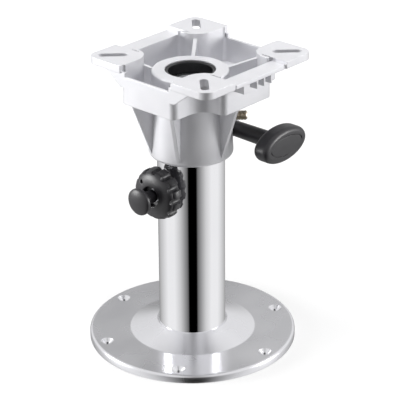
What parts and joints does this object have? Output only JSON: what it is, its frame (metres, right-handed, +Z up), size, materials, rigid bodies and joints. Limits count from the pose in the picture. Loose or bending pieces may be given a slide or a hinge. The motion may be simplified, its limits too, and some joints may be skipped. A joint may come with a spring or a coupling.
{
  "type": "boat seat pedestal",
  "caption": "Round-based boat seat pedestal with a height-adjustable post, lobed lock knob, swivelling seat mount and T-handle.",
  "frame": {"origin": "centre of the base plate's bottom face, on the tube's axis", "axes": "+Z up along the tube's axis; -Y towards the height lock knob; +X towards the swivel lock's handle"},
  "size_m": [0.2286, 0.2286, 0.3271],
  "materials": {
    "turned_aluminium": "turned and polished",
    "polished_tube": "mirror polished",
    "post_aluminium": "anodised",
    "casting": "bead blasted casting",
    "knob_plastic": "moulded, fine grain",
    "bush_plastic": "smooth",
    "zinc_steel": "zinc plated",
    "brass_screw": "plain thread"
  },
  "bodies": {
    "pedestal": {"base_plate": "turned_aluminium", "outer_tube": "polished_tube", "guide_bush": "bush_plastic", "lock_boss": "zinc_steel"},
    "post": {"inner_post": "post_aluminium", "post_glide": "bush_plastic", "post_head": "post_aluminium", "head_pin": "zinc_steel", "thrust_washer": "bush_plastic", "top_bush": "bush_plastic", "retaining_nut": "zinc_steel"},
    "mount": {"seat_mount": "casting", "sleeve_bush": "bush_plastic", "stop_screw": "brass_screw", "clamp_nut": "zinc_steel"},
    "clamp_carrier": {"clamp_washer": "zinc_steel"},
    "clamp": {"clamp_handle": "knob_plastic", "handle_cap": "knob_plastic", "clamp_screw": "zinc_steel"},
    "lock_carrier": {"lock_pad": "bush_plastic"},
    "lock": {"lock_knob": "knob_plastic", "knob_cap": "knob_plastic", "lock_screw": "zinc_steel", "spring_plug": "zinc_steel", "pin_spring": "zinc_steel"},
    "pin": {"index_pin": "zinc_steel", "pull_button": "knob_plastic"}
  },
  "joints": [
    {"name": "height", "type": "slide", "parent": "pedestal", "child": "post", "axis": [0, 0, 1], "range_m": [0, 0.127]},
    {"name": "swivel", "type": "hinge", "parent": "post", "child": "mount", "pos_m": [0, 0, 0.28], "axis": [0, 0, 1], "continuous": true},
    {"name": "clamp_feed", "type": "slide", "parent": "mount", "child": "clamp_carrier", "axis": [1, 0, 0], "range_m": [0, 0.0015]},
    {"name": "clamp_turn", "type": "hinge", "parent": "clamp_carrier", "child": "clamp", "pos_m": [0.05, 0.05, 0.236], "axis": [1, 0, 0], "range_deg": [0, 360]},
    {"name": "lock_feed", "type": "slide", "parent": "pedestal", "child": "lock_carrier", "axis": [0, -1, 0], "range_m": [0, 0.003]},
    {"name": "lock_turn", "type": "hinge", "parent": "lock_carrier", "child": "lock", "pos_m": [0, -0.05, 0.188], "axis": [0, -1, 0], "range_deg": [0, 720]},
    {"name": "pin_pull", "type": "slide", "parent": "lock_carrier", "child": "pin", "axis": [0, -1, 0], "range_m": [0, 0.008], "stiffness_N_per_m": 300, "springref_m": -0.01, "deforming": ["pin_spring"]}
  ],
  "couplings": [
    {"joint": "clamp_turn", "follows": "clamp_feed", "rad_per_m": 4188.8},
    {"joint": "lock_turn", "follows": "lock_feed", "rad_per_m": 4188.8}
  ]
}
